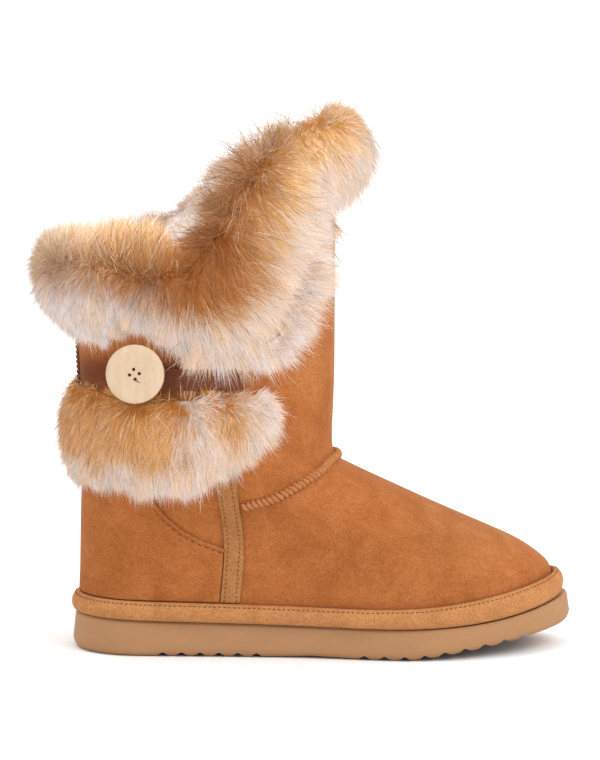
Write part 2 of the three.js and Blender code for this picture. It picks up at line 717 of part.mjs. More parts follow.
piece("outsole", outsole(), FOAM);
piece("insole", insole(), FOOTBED);
piece("upper", upper(), SUEDE);
piece("binding", binding(), SUEDE_TAPE);
piece("heel_counter", heelCounter(), SUEDE);
piece("side_tape_outer", sideTape(OUTER), SUEDE_TAPE);
piece("side_tape_inner", sideTape(INNER), SUEDE_TAPE);
piece("instep_seam", instepSeam(), THREAD);
piece("back_seam", backSeam(), THREAD);
piece("fur_collar", furCollar(), FUR);
piece("fur_band", furBand(), FUR);
piece("strap", strap(), SUEDE);
placeButton(piece("button", button(), WOOD));

boot.position.x = -HEEL_MIDDLE;

export default boot;
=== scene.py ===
import math

import bmesh
import bpy
import numpy as np
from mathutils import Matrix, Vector
from mathutils.bvhtree import BVHTree
from mathutils.kdtree import KDTree


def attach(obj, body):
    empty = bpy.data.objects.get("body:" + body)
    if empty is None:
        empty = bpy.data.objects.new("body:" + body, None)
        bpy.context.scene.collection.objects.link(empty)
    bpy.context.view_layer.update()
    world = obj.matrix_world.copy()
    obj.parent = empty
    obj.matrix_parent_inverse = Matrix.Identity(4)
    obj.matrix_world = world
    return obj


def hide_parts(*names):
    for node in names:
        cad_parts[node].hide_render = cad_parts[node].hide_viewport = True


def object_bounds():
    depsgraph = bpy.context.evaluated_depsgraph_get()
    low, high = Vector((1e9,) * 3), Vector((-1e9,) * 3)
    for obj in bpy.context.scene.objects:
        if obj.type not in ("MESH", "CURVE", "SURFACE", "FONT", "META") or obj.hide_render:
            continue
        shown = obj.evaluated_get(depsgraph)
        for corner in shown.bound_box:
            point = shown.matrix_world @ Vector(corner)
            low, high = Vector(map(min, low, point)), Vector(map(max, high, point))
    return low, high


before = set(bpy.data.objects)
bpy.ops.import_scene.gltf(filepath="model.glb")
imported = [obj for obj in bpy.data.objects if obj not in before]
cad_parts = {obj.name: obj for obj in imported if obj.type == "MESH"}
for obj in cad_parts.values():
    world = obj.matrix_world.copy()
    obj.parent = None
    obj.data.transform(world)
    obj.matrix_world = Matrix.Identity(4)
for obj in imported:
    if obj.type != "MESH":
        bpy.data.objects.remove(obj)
cad_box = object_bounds()


# Outsole
# One moulded piece of tan foam. Its side wall is plain and leans out a little towards the floor,
# and V-grooves cross the tread at the heel and under the ball of the foot.

MM = 0.001


def start_from(node, name):
    """A piece that starts as a copy of a CAD node, its loose triangles merged and paired into quads."""
    bm = bmesh.new()
    bm.from_mesh(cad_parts[node].data)
    bmesh.ops.remove_doubles(bm, verts=bm.verts, dist=0.02 * MM)
    bmesh.ops.join_triangles(bm, faces=bm.faces, angle_face_threshold=0.7, angle_shape_threshold=1.2)
    for face in bm.faces:
        face.smooth = True
    mesh = bpy.data.meshes.new(name)
    bm.to_mesh(mesh)
    bm.free()
    piece = bpy.data.objects.new(name, mesh)
    bpy.context.collection.objects.link(piece)
    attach(piece, "root")
    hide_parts(node)
    return piece


def soften_edges(piece, width, angle):
    """Rounds the piece's edges that are sharper than the angle."""
    bevel = piece.modifiers.new("rounded edges", "BEVEL")
    bevel.width = width
    bevel.segments = 2
    bevel.limit_method = "ANGLE"
    bevel.angle_limit = math.radians(angle)
    bevel.harden_normals = True


class Finish:
    """A material whose nodes are added around its Principled shader."""

    def __init__(self, name, roughness, specular=0.3):
        self.material = bpy.data.materials.new(name)
        self.material.use_nodes = True
        self.nodes = self.material.node_tree.nodes
        self.links = self.material.node_tree.links
        self.shader = self.nodes["Principled BSDF"]
        self.shader.inputs["Roughness"].default_value = roughness
        self.shader.inputs["Specular IOR Level"].default_value = specular

    def sheen(self, weight, roughness, tint):
        self.shader.inputs["Sheen Weight"].default_value = weight
        self.shader.inputs["Sheen Roughness"].default_value = roughness
        self.shader.inputs["Sheen Tint"].default_value = (*tint, 1)

    def noise(self, size, detail=3.0, distortion=0.0, stretch=(1, 1, 1)):
        """Noise whose blotches measure about size, in metres, drawn out along an axis by stretch."""
        place = self.nodes.new("ShaderNodeTexCoord")
        mapping = self.nodes.new("ShaderNodeMapping")
        mapping.inputs["Scale"].default_value = [1 / (size * s) for s in stretch]
        texture = self.nodes.new("ShaderNodeTexNoise")
        texture.inputs["Scale"].default_value = 1
        texture.inputs["Detail"].default_value = detail
        texture.inputs["Distortion"].default_value = distortion
        self.links.new(place.outputs["Object"], mapping.inputs["Vector"])
        self.links.new(mapping.outputs["Vector"], texture.inputs["Vector"])
        return texture.outputs["Fac"]

    def shades(self, factor, *stops):
        """A colour ramp: each stop is a place from 0 to 1 and a linear colour."""
        ramp = self.nodes.new("ShaderNodeValToRGB")
        for i, (place, colour) in enumerate(stops):
            stop = ramp.color_ramp.elements[i] if i < 2 else ramp.color_ramp.elements.new(place)
            stop.position = place
            stop.color = (*colour, 1)
        self.links.new(factor, ramp.inputs["Fac"])
        return ramp.outputs["Color"]

    def mixed(self, kind, share, first, second):
        """Two colours blended in a kind of way, by a constant share or a socket."""
        mix = self.nodes.new("ShaderNodeMix")
        mix.data_type = "RGBA"
        mix.blend_type = kind
        for value, socket in ((share, mix.inputs[0]), (first, mix.inputs[6]), (second, mix.inputs[7])):
            if isinstance(value, bpy.types.NodeSocket):
                self.links.new(value, socket)
            else:
                socket.default_value = value
        return mix.outputs[2]

    def attribute(self, name):
        reader = self.nodes.new("ShaderNodeAttribute")
        reader.attribute_name = name
        return reader.outputs["Color"]

    def colour(self, socket):
        self.links.new(socket, self.shader.inputs["Base Color"])

    def plain(self, colour):
        self.shader.inputs["Base Color"].default_value = (*colour, 1)

    def bump(self, *layers):
        """Relief from several heights: each layer is a socket, its depth in metres and a strength."""
        under = None
        for height, depth, strength in layers:
            bump = self.nodes.new("ShaderNodeBump")
            bump.inputs["Distance"].default_value = depth
            bump.inputs["Strength"].default_value = strength
            self.links.new(height, bump.inputs["Height"])
            if under:
                self.links.new(under, bump.inputs["Normal"])
            under = bump.outputs["Normal"]
        self.links.new(under, self.shader.inputs["Normal"])

    def paint(self, piece):
        piece.data.materials.clear()
        piece.data.materials.append(self.material)


foam = Finish("moulded tan foam", roughness=0.6, specular=0.3)
foam_clouds = foam.noise(18 * MM, detail=3, stretch=(2, 1, 0.6))
foam_specks = foam.noise(0.9 * MM, detail=2)
foam_tone = foam.shades(foam_clouds, (0.25, (0.355, 0.181, 0.080)), (0.75, (0.40, 0.208, 0.094)))
foam_grain = foam.shades(foam_specks, (0.3, (0.94, 0.94, 0.94)), (0.7, (1, 1, 1)))
foam.colour(foam.mixed("MULTIPLY", 1.0, foam_tone, foam_grain))
foam.bump((foam_clouds, 0.4 * MM, 0.2), (foam_specks, 0.08 * MM, 0.25))

# Painted shade: a near-black finish for the grooves' downward flanks, which lie in shadow.
groove_shade = Finish("painted groove shade", roughness=0.85, specular=0.15)
groove_shade.plain((0.055, 0.026, 0.014))

# The grooves' places along the boot, and how far their flanks face along it, aside and down. The flanks
# that face down take a near-black finish: painted shade inside the grooves.
GROOVES = {"from": 0, "to": 222 * MM, "along": 0.4, "aside": 0.25, "down": 0.5}
outsole = start_from("outsole", "outsole_foam")
foam.paint(outsole)
outsole.data.materials.append(groove_shade.material)
for face in outsole.data.polygons:
    along, aside, up = face.normal
    crosswise = abs(along) > GROOVES["along"] and abs(aside) < GROOVES["aside"]
    if crosswise and up < -GROOVES["down"] and GROOVES["from"] < face.center.x < GROOVES["to"]:
        face.material_index = 1
soften_edges(outsole, width=0.7 * MM, angle=28)


# Insole
# The footbed inside the boot, a foam board covered with cream pile. It lies on the sole, inside the
# upper, and is seen only through the opening for the leg.

pile = Finish("cream pile", roughness=0.95, specular=0.1)
pile.sheen(0.4, 0.6, (1.0, 0.95, 0.88))
pile_curls = pile.noise(3.2 * MM, detail=5, distortion=1.2)
pile_fibre = pile.noise(0.7 * MM, detail=3)
pile.colour(pile.shades(pile_curls, (0.3, (0.55, 0.37, 0.27)), (0.7, (0.90, 0.71, 0.56))))
pile.bump((pile_curls, 2.2 * MM, 0.7), (pile_fibre, 0.5 * MM, 0.5))

insole = start_from("insole", "insole_pile")
soften_edges(insole, width=1.2 * MM, angle=40)
pile.paint(insole)


# Upper
# Brushed suede over a bonded pile lining: vamp, front shaft and back shaft, one wall about 2.4 mm
# thick. It has soft hollows where the foot and ankle bend, above all along the instep seam.

def suede(name, dark, middle, light, toned=False):
    """Matt brushed leather: cloudy nap, short strokes, fine fibre and a soft sheen. A toned one is
    multiplied by the piece's attribute of tones with painted light and shade."""
    nap = Finish(name, roughness=0.95, specular=0.06)
    nap.sheen(0.12, 0.4, (1.0, 0.72, 0.5))
    clouds = nap.noise(20 * MM, detail=4, distortion=0.8)
    strokes = nap.noise(5 * MM, detail=5, distortion=1.4, stretch=(1.5, 1, 0.9))
    fibre = nap.noise(0.8 * MM, detail=3)
    ground = nap.shades(clouds, (0.32, dark), (0.5, middle), (0.68, light))
    brushed = nap.shades(strokes, (0.32, (0.88, 0.86, 0.84)), (0.62, (1.0, 1.0, 1.0)))
    grain = nap.shades(fibre, (0.38, (0.74, 0.72, 0.70)), (0.6, (1.0, 1.0, 1.0)))
    if toned:
        ground = nap.mixed("MULTIPLY", 1.0, ground, nap.attribute("tone_and_painted_light"))
    nap.colour(nap.mixed("MULTIPLY", 1.0, nap.mixed("MULTIPLY", 0.8, ground, brushed), grain))
    nap.bump((strokes, 0.3 * MM, 0.2), (fibre, 0.2 * MM, 0.45))
    return nap


def made_smooth(piece, levels):
    """Divides the piece's quads into a smooth surface and keeps the result as its mesh."""
    rounding = piece.modifiers.new("smooth", "SUBSURF")
    rounding.levels = levels
    rounding.render_levels = levels
    evaluated = piece.evaluated_get(bpy.context.evaluated_depsgraph_get())
    mesh = bpy.data.meshes.new_from_object(evaluated)
    mesh.name = piece.name
    piece.modifiers.clear()
    piece.data = mesh


def points_of(mesh):
    points = np.empty(len(mesh.vertices) * 3)
    mesh.vertices.foreach_get("co", points)
    return points.reshape(-1, 3)


def normals_of(mesh):
    normals = np.empty(len(mesh.vertices) * 3)
    mesh.vertex_normals.foreach_get("vector", normals)
    return normals.reshape(-1, 3)


def colour_points(mesh, name, colours):
    """Keeps a colour at each point of a mesh, under a name."""
    opaque = np.column_stack([colours, np.ones(len(colours))])
    mesh.attributes.new(name, "FLOAT_COLOR", "POINT").data.foreach_set("color", opaque.ravel())


suede_main = suede("tan suede", (0.38, 0.122, 0.034), (0.42, 0.140, 0.041), (0.46, 0.162, 0.050),
                   toned=True)

upper = start_from("upper", "upper_suede")
suede_main.paint(upper)
upper.data.materials.append(pile.material)

# The outer skin is all that can be reached from its outermost face without turning an edge sharper
# than this cosine; the rest of the wall is the lining.
SHARPEST_TURN = 0.4
bm = bmesh.new()
bm.from_mesh(upper.data)
outermost = min(bm.faces, key=lambda face: face.calc_center_median().y)
outer_skin = {outermost}
waiting = [outermost]
while waiting:
    face = waiting.pop()
    for edge in face.edges:
        for other in edge.link_faces:
            if other not in outer_skin and face.normal.dot(other.normal) > SHARPEST_TURN:
                outer_skin.add(other)
                waiting.append(other)
for face in bm.faces:
    face.material_index = 0 if face in outer_skin else 1
bm.to_mesh(upper.data)
bm.free()
made_smooth(upper, levels=2)

# Hollows of the worn-in leather: a line in millimetres along the boot and up from the floor, its
# half-width and its depth. Both skins move together, so that the wall keeps its thickness.
HOLLOWS = [
    ([(110, 108), (94, 102), (76, 92)], 6, 2.0),
    ([(64, 98), (66, 112), (76, 122)], 7, 1.0),
    ([(120, 78), (138, 70), (158, 66)], 9, 1.0),
    ([(66, 40), (72, 58), (70, 74)], 7, 0.9),
    ([(86, 136), (98, 150), (102, 172)], 8, 0.8),
    ([(160, 48), (180, 46), (198, 47)], 8, 0.7),
]
points = points_of(upper.data)
normals = normals_of(upper.data)
inward = np.full(len(points), -1.0)
for face in upper.data.polygons:
    if face.material_index == 1:
        inward[list(face.vertices)] = 1.0
for stops, width, depth in HOLLOWS:
    line = np.array(stops) * MM
    flat = points[:, [0, 2]]
    nearest = np.full(len(points), np.inf)
    for start, end in zip(line[:-1], line[1:]):
        share = np.clip(((flat - start) @ (end - start)) / ((end - start) @ (end - start)), 0, 1)
        nearest = np.minimum(nearest, np.linalg.norm(flat - start - share[:, None] * (end - start), axis=1))
    sunk = depth * MM * np.exp(-((nearest / (width * MM)) ** 2))
    points += normals * (inward * sunk)[:, None] * np.abs(normals[:, [1]])
upper.data.vertices.foreach_set("co", points.ravel())

# Broad tones of the leather, with painted light and shade: where, along the boot and up from the floor,
# how far each reaches, and its colour. The toe and the front of the shaft are painted paler, as painted
# light; the skin between the furs is painted deep, as painted shade from the furs.
TONES_AND_PAINTED_LIGHT = [
    # Painted light: the toe and the front of the shaft are paler.
    ((195, 70), (40, 30), (1.0, 1.08, 1.15)),
    ((100, 190), (16, 60), (1.02, 1.10, 1.18)),
    ((140, 55), (40, 26), (0.93, 0.93, 0.92)),
    ((30, 98), (24, 14), (0.95, 0.87, 0.82)),
    # Painted shade: the skin between the furs is deep.
    ((10, 150), (60, 10), (0.34, 0.28, 0.40)),
]
tone_and_painted_light = np.ones((len(points), 3))
for middle, half, colour in TONES_AND_PAINTED_LIGHT:
    away = (points[:, [0, 2]] / MM - middle) / half
    share = np.exp(-(away ** 2).sum(axis=1) ** 2)[:, None]
    tone_and_painted_light *= 1 + share * (np.array(colour) - 1)
colour_points(upper.data, "tone_and_painted_light", tone_and_painted_light)


# Binding
# A rolled suede strip, a little lighter than the upper, that covers the joint of upper and sole. A
# row of stitches holds it near its top edge.

def tree_of(piece):
    return BVHTree.FromObject(piece, bpy.context.evaluated_depsgraph_get())


def unit(vectors):
    return vectors / np.maximum(np.linalg.norm(vectors, axis=1, keepdims=True), 1e-9)


def finer(line, pitch, closed):
    """The line with points evenly spread along it, about a pitch apart."""
    ends = np.vstack([line, line[:1]]) if closed else np.asarray(line)
    travelled = np.concatenate([[0], np.cumsum(np.linalg.norm(np.diff(ends, axis=0), axis=1))])
    count = max(2, round(travelled[-1] / pitch))
    places = np.linspace(0, travelled[-1], count, endpoint=not closed)
    return np.stack([np.interp(places, travelled, ends[:, k]) for k in range(ends.shape[1])], axis=1)


def laid_on(tree, starts, ways):
    """Where rays meet a piece, and its normals there; rays that miss are left out."""
    hits = [tree.ray_cast(Vector(start), Vector(way)) for start, way in zip(starts, ways)]
    hits = [hit for hit in hits if hit[0] is not None]
    return np.array([hit[0] for hit in hits]), np.array([hit[1] for hit in hits])


def along_row(points, normals, slant=0.0):
    """Directions along, across and out of a row, the first two turned about the third by a slant."""
    run = unit(np.gradient(points, axis=0))
    across = unit(np.cross(normals, run))
    out = unit(np.cross(run, across))
    turned = math.cos(slant) * run + math.sin(slant) * across
    return turned, np.cross(out, turned), out


def beads(name, finish, centres, half_axes):
    """One mesh of small ellipsoids, each with a centre and three half-axes."""
    bm = bmesh.new()
    bmesh.ops.create_uvsphere(bm, u_segments=8, v_segments=6, radius=1)
    ball = np.array([vert.co for vert in bm.verts])
    patches = [[vert.index for vert in face.verts] for face in bm.faces]
    bm.free()
    points = np.einsum("vk,nkd->nvd", ball, half_axes) + centres[:, None]
    faces = [[n * len(ball) + k for k in patch] for n in range(len(centres)) for patch in patches]
    mesh = bpy.data.meshes.new(name)
    mesh.from_pydata(points.reshape(-1, 3), [], faces)
    mesh.polygons.foreach_set("use_smooth", np.ones(len(faces), dtype=bool))
    piece = bpy.data.objects.new(name, mesh)
    bpy.context.collection.objects.link(piece)
    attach(piece, "root")
    finish.paint(piece)


def bead_row(name, slot, finish, points, normals, half, slant=0.0):
    """A row of beads, with their half sizes along the row, across it and out of the surface."""
    half_axes = [way * size for way, size in zip(along_row(points, normals, slant), half)]
    beads(name, finish, points, np.stack(half_axes, axis=1))


def stitches(name, points, normals, length):
    """Short threads lying in a row, half sunk in the leather."""
    half = (length / 2, STITCH_WIDTH / 2, STITCH_WIDTH / 2)
    bead_row(name, "thread", stitch_thread, points, normals, half)


STITCH_WIDTH = 0.7 * MM
stitch_thread = Finish("dark brown stitches", roughness=0.8, specular=0.2)
stitch_thread.plain((0.17, 0.066, 0.022))

suede_trim = suede("lighter trim suede", (0.46, 0.197, 0.073), (0.50, 0.222, 0.084), (0.54, 0.245, 0.095))

binding = start_from("binding", "binding_suede")
made_smooth(binding, levels=2)
suede_trim.paint(binding)

# The row's height above the floor, along the boot.
ROW_HEIGHT = np.array([(-30, 28.8), (125, 25.5), (157, 26.3), (170, 27.6), (184, 29.2), (197, 31.2),
                       (210, 33.8), (224, 37), (237, 40.8)]) * MM
BINDING_ROW = {"pitch": 2.6 * MM, "length": 1.7 * MM, "outside": 20 * MM}


def plan_outline(mesh):
    """The convex outline of a piece seen from above."""
    bm = bmesh.new()
    for x, y in points_of(mesh)[:, :2]:
        bm.verts.new((x, y, 0))
    hull = bmesh.ops.convex_hull(bm, input=bm.verts)["geom"]
    rim_places = np.array([item.co[:2] for item in hull if isinstance(item, bmesh.types.BMVert)])
    bm.free()
    middle = rim_places.mean(axis=0)
    order = np.argsort(np.arctan2(rim_places[:, 1] - middle[1], rim_places[:, 0] - middle[0]))
    return rim_places[order]


row_plan = finer(plan_outline(binding.data), BINDING_ROW["pitch"], closed=True)
row_run = unit(np.roll(row_plan, -1, axis=0) - np.roll(row_plan, 1, axis=0))
row_out = np.stack([row_run[:, 1], -row_run[:, 0], np.zeros(len(row_run))], axis=1)
row_z = np.interp(row_plan[:, 0], *ROW_HEIGHT.T)
row_start = np.column_stack([row_plan, row_z]) + BINDING_ROW["outside"] * row_out
stitches("binding_stitches", *laid_on(tree_of(binding), row_start, -row_out), BINDING_ROW["length"])


# Heel counter
# The lower back panel, laid on the upper. Its top edge is turned to a soft ridge, with a row of long
# stitches just below it.

suede_counter = suede("counter suede", (0.36, 0.114, 0.031), (0.40, 0.131, 0.038), (0.44, 0.152, 0.046))
counter = start_from("heel_counter", "heel_counter_suede")
soften_edges(counter, width=0.5 * MM, angle=40)
suede_counter.paint(counter)

# The panel's top edge, along the boot and up from the floor.
COUNTER_EDGE = np.array([(-8, 102), (6, 93), (15.4, 81.7), (20.5, 75), (29.9, 67), (39.8, 61.8),
                         (50.6, 58)]) * MM
COUNTER_ROW = {"below": 2.4 * MM, "pitch": 3.6 * MM, "length": 2.3 * MM}
COUNTER_RIDGE = {"below": 0.9 * MM, "half": (3.2 * MM, 1.2 * MM, 0.7 * MM)}
SIDES = {"outer": -1, "inner": 1}
WELL_OUTSIDE = 120 * MM


def beside(piece, line, side):
    """A line in side view laid on one side of a piece."""
    starts = np.column_stack([line[:, 0], np.full(len(line), side * WELL_OUTSIDE), line[:, 1]])
    return laid_on(tree_of(piece), starts, np.tile([0.0, -side, 0.0], (len(line), 1)))


edge_line = finer(COUNTER_EDGE, COUNTER_ROW["pitch"], closed=False)
edge_run = unit(np.gradient(edge_line, axis=0))
edge_below = np.stack([edge_run[:, 1], -edge_run[:, 0]], axis=1)
for side_name, side in SIDES.items():
    row = beside(counter, edge_line + COUNTER_ROW["below"] * edge_below, side)
    stitches(f"counter_stitches_{side_name}", *row, COUNTER_ROW["length"])
    ridge = beside(counter, edge_line + COUNTER_RIDGE["below"] * edge_below, side)
    bead_row(f"counter_ridge_{side_name}", "suede", suede_counter, *ridge, COUNTER_RIDGE["half"])


# Side tapes
# Narrow strips of paler suede sewn over the side seams with two rows of dark stitches, one strip on
# each side.

suede_tape = suede("yellow tan tape suede", (0.37, 0.157, 0.057), (0.41, 0.178, 0.066), (0.45, 0.20, 0.076))

# The tape's middle line, along the boot and up from the floor.
TAPE_LINE = np.array([(55.1, 30), (57.3, 60), (52.5, 97), (49.2, 116)]) * MM
TAPE_ROW = {"apart": 6.2 * MM, "pitch": 2.3 * MM, "length": 1.4 * MM}

for side_name, side in SIDES.items():
    tape = start_from(f"side_tape_{side_name}", f"side_tape_{side_name}_suede")
    soften_edges(tape, width=0.5 * MM, angle=40)
    suede_tape.paint(tape)
    tape_line = finer(TAPE_LINE, TAPE_ROW["pitch"], closed=False)
    for share, row_name in ((-0.5, "back"), (0.5, "front")):
        row = beside(tape, tape_line + [share * TAPE_ROW["apart"], 0], side)
        stitches(f"tape_stitches_{side_name}_{row_name}", *row, TAPE_ROW["length"])


# Whipped seams
# Cords of thick overcast thread: one over the instep, where vamp and shaft meet, and one up the back.
# Each turn of the thread shows as a slanting bead, seated on the leather.

def overcast(name, dark, light):
    """Thick thread, whose plies show as fine noise from dark to light."""
    thread = Finish(name, roughness=0.9, specular=0.1)
    ply = thread.noise(0.9 * MM, detail=3)
    thread.colour(thread.shades(ply, (0.3, dark), (0.7, light)))
    thread.bump((ply, 0.3 * MM, 0.5))
    return thread


def middle_line(mesh, order, window):
    """The line through the middle of a cord, end to end: its points in order, averaged in runs."""
    points = points_of(mesh)[np.argsort(order)]
    sums = np.vstack([np.zeros(3), np.cumsum(points, axis=0)])
    ends = [points[:window // 3].mean(axis=0), points[-(window // 3):].mean(axis=0)]
    return np.vstack([ends[0], (sums[window:] - sums[:-window]) / window, ends[1]])


def wall_by(places):
    """The wall's nearest point to each place, its normal there and its distance."""
    found = [wall.find_nearest(Vector(place)) for place in places]
    return [np.array([hit[k] for hit in found]) for k in (0, 1, 3)]


def whipped(node, finish, order, turn):
    """A cord seated on the wall, with its turns of thread as a row of slanting beads."""
    cord = start_from(node, f"{node}_cord")
    cord_core.paint(cord)
    middle = middle_line(cord.data, order(points_of(cord.data)), CORD["window"])
    line = finer(middle, turn["pitch"], closed=False)
    feet, normals, _ = wall_by(line)
    seated = feet + turn["above"] * normals
    slimmer = points_of(cord.data) - CORD["inside"] * normals_of(cord.data)
    nearest = np.linalg.norm(slimmer[:, None] - line[None], axis=2).argmin(axis=1)
    cord.data.vertices.foreach_set("co", (slimmer + (seated - line)[nearest]).ravel())
    cord.data.update()
    bead_row(f"{node}_turns", "thread", finish, seated, normals, turn["half"], turn["slant"])


cord_core = Finish("shaded cord under the thread", roughness=0.95, specular=0.05)
cord_core.plain((0.22, 0.072, 0.024))
tan_thread = overcast("tan overcast thread", (0.32, 0.118, 0.038), (0.50, 0.20, 0.072))
tan_thread.sheen(0.1, 0.5, (1.0, 0.8, 0.6))
# Painted shade: the back seam's thread is darkened, for the shadow it lies in between the furs.
shaded_thread = overcast("shaded overcast thread", (0.12, 0.045, 0.022), (0.22, 0.085, 0.042))

# How many of its points are averaged for a cord's middle line, and how far it lies inside its thread.
CORD = {"window": 18, "inside": 0.9 * MM}
# A turn's half sizes are along the cord, across it and out of the wall; its middle is above the wall.
INSTEP_TURN = {"half": (1.5 * MM, 3.0 * MM, 2.4 * MM), "pitch": 2.75 * MM, "slant": 0.6, "above": 1.2 * MM}
BACK_TURN = {"half": (1.4 * MM, 2.2 * MM, 1.5 * MM), "pitch": 2.6 * MM, "slant": 0.5, "above": 0.6 * MM}
wall = tree_of(upper)
ANKLE_MIDDLE = 40 * MM
whipped("instep_seam", tan_thread, lambda p: np.arctan2(p[:, 1], p[:, 0] - ANKLE_MIDDLE), INSTEP_TURN)
whipped("back_seam", shaded_thread, lambda p: p[:, 2], BACK_TURN)


# Strap
# A suede tab that lies on the shaft between the two furs and ends under the button. Its leather is
# painted deeper than the upper's, as painted shade from the collar above it.

suede_strap = suede("shaded strap suede", (0.12, 0.036, 0.019), (0.145, 0.045, 0.023), (0.175, 0.058, 0.03))
strap = start_from("strap", "strap_suede")
soften_edges(strap, width=0.4 * MM, angle=40)
suede_strap.paint(strap)


# Button
# A turned disc of pale wood with four sewing holes, on a thread shank. It covers the end of the strap
# and faces square out of the wall.

wood = Finish("pale turned wood", roughness=0.5, specular=0.3)
wood_grain = wood.noise(7 * MM, detail=4, distortion=0.6, stretch=(0.5, 1, 2.2))
wood_pores = wood.noise(0.8 * MM, detail=2, stretch=(0.6, 1, 2.4))
wood_tone = wood.shades(wood_grain, (0.25, (0.55, 0.40, 0.265)), (0.75, (0.62, 0.47, 0.32)))
wood_fleck = wood.shades(wood_pores, (0.3, (0.9, 0.88, 0.85)), (0.6, (1, 1, 1)))
wood.colour(wood.mixed("MULTIPLY", 0.6, wood_tone, wood_fleck))
wood.bump((wood_grain, 0.1 * MM, 0.2))

button = start_from("button", "button_wood")
wood.paint(button)
button.data.materials.append(stitch_thread.material)
even_faces = button.modifiers.new("even faces", "WEIGHTED_NORMAL")
even_faces.keep_sharp = True
button.data.set_sharp_from_angle(angle=math.radians(40))

# The disc's middle and axis come from its rim. The faces in the four holes take the dark thread's finish,
# for the thread in them and as painted shade in the holes, and one end of the thread lies on the face
# below them.
BUTTON = {"rim": 14 * MM, "holes": 4 * MM, "hole_ends": (-0.5 * MM, 1.5 * MM)}
# The thread end's place to the right, up and out of the disc, its slope and its half sizes.
THREAD_END = {"place": (1.3 * MM, -3.5 * MM, 1.75 * MM), "slope": -0.45,
              "half": (2.4 * MM, 0.28 * MM, 0.28 * MM)}
button_points = points_of(button.data)
box_middle = (button_points.min(axis=0) + button_points.max(axis=0)) / 2
button_rim = button_points[np.linalg.norm((button_points - box_middle)[:, [0, 2]], axis=1) > BUTTON["rim"]]
button_middle = button_rim.mean(axis=0)
button_axis = np.linalg.svd(button_rim - button_middle)[2][2]
button_axis *= -np.sign(button_axis[1])
# Painted shade, with the thread: the faces in the holes are dark.
for face in button.data.polygons:
    away = np.array(face.center) - button_middle
    depth = away @ button_axis
    if BUTTON["hole_ends"][0] < depth < BUTTON["hole_ends"][1]:
        if np.linalg.norm(away - depth * button_axis) < BUTTON["holes"]:
            face.material_index = 1
to_right = unit(np.cross([[0.0, 0.0, 1.0]], [button_axis]))[0]
to_top = np.cross(button_axis, to_right)
end_middle = button_middle + THREAD_END["place"] @ np.stack([to_right, to_top, button_axis])
end_run = unit([to_right + THREAD_END["slope"] * to_top])[0]
end_ways = np.stack([end_run, np.cross(button_axis, end_run), button_axis])
end_axes = end_ways * np.array(THREAD_END["half"])[:, None]
beads("button_thread_end", stitch_thread, end_middle[None], end_axes[None])


# Fur collar
# A strip of dyed fur folded over the top edge: tan about the fold and cream on both margins. The hair
# parts along the fold, on the outer face; above it the hair runs up and inwards, below it it hangs.

RIM_SECTORS = 36
rim_points = points_of(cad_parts["upper"].data)
rim_turn = np.arctan2(rim_points[:, 1], rim_points[:, 0] - ANKLE_MIDDLE)
rim_sector = ((rim_turn + math.pi) / (2 * math.pi) * RIM_SECTORS).astype(int) % RIM_SECTORS
rim = np.array([max(rim_points[rim_sector == k], key=lambda p: p[2]) for k in range(RIM_SECTORS)])
rim = (np.roll(rim, 1, axis=0) + 2 * rim + np.roll(rim, -1, axis=0)) / 4


def finder(points):
    """A function that tells which of the points is nearest to each of some places."""
    tree = KDTree(len(points))
    for i, point in enumerate(points):
        tree.insert(point, i)
    tree.balance()
    return lambda places: np.array([tree.find(place)[1] for place in places])


class Parting:
    """A closed line that hair parts from: its points, and the ways along it, out of the wall and up it."""

    def __init__(self, line, pitch):
        self.points = finer(line, pitch, closed=True)
        self.run = unit(np.roll(self.points, -1, axis=0) - np.roll(self.points, 1, axis=0))
        self.out = unit(np.cross(self.run, [0.0, 0.0, 1.0]))
        self.up = np.cross(self.out, self.run)
        self.up *= np.sign(self.up[:, [2]])
        self.nearest = finder(self.points)


def step_between(low, high, values):
    share = np.clip((values - low) / (high - low), 0, 1)
    return share * share * (3 - 2 * share)


WAVES = {"count": 6, "mean_way": 1.7, "height": 2.4}


def waves(places, size, seed):
    """A smooth uneven field from about -1 to 1 whose waves measure about size."""
    rng = np.random.default_rng(seed)
    ways = rng.normal(size=(WAVES["count"], 3)) * 2 * math.pi / size / WAVES["mean_way"]
    phases = rng.random(WAVES["count"]) * 2 * math.pi
    return np.sin(places @ ways.T + phases).sum(axis=1) / WAVES["height"]


def sway_of(places, parts):
    """Waves of several sizes together: each part has a strength, a size and a seed."""
    return sum(strength * waves(places, size, seed) for strength, size, seed in parts)


def along_skin(ways, normals):
    """Ways turned so that they run along the skin."""
    return unit(ways - (ways * normals).sum(axis=1, keepdims=True) * normals)


# Near the wall: how far the skin's normals lean out, the least cosine that a hair's normal keeps to the
# wall's, and the one below which skin lies against it.
NEAR_WALL = {"gap": 9 * MM, "lean": 1.6, "least_cosine": 0.4, "against": -0.6}
# The share of the gap that hair can sink into.
FUR_DEPTH = 0.7


def off_the_wall(places, ways):
    """Ways turned so that none near the wall points into it, and the places' distances from the wall."""
    _, wall_ways, gaps = wall_by(places)
    short = np.maximum(NEAR_WALL["least_cosine"] - (wall_ways * ways).sum(axis=1), 0)
    short = np.where(gaps < 2 * NEAR_WALL["gap"], short, 0)
    return unit(ways + short[:, None] * wall_ways), gaps


